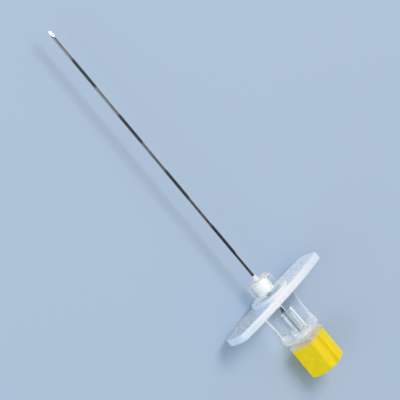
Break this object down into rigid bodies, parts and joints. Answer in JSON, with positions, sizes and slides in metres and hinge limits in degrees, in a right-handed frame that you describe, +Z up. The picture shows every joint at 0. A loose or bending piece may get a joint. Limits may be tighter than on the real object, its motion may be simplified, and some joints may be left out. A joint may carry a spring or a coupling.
{
  "type": "epidural needle",
  "caption": "Winged epidural needle: marked steel tube with a curved side-facing bevel, clear hub, milky wing and a withdrawable stylet with a yellow cap.",
  "frame": {"origin": "middle of the footprint, on the surface that the wing's edge lies on", "axes": "+X along the needle towards its tip, +Y along the wing, +Z up, the side that the bevel faces"},
  "size_m": [0.1218, 0.0368, 0.0123],
  "materials": {
    "tube_steel": "polished and matt rings",
    "clear_plastic": "clear gloss",
    "white_bond": "matt",
    "milky_plastic": "translucent satin",
    "wire_steel": "drawn wire",
    "plug_plastic": "clear gloss",
    "yellow_plastic": "moulded gloss"
  },
  "bodies": {
    "needle": {"cannula": "tube_steel", "hub": "clear_plastic", "bond": "white_bond", "wing": "milky_plastic"},
    "stylet": {"stylet_wire": "wire_steel", "stylet_plug": "plug_plastic", "stylet_cap": "yellow_plastic"}
  },
  "joints": [
    {"name": "stylet_withdrawal", "type": "slide", "parent": "needle", "child": "stylet", "axis": [-1, 0, 0], "range_m": [0, 0.11]}
  ]
}
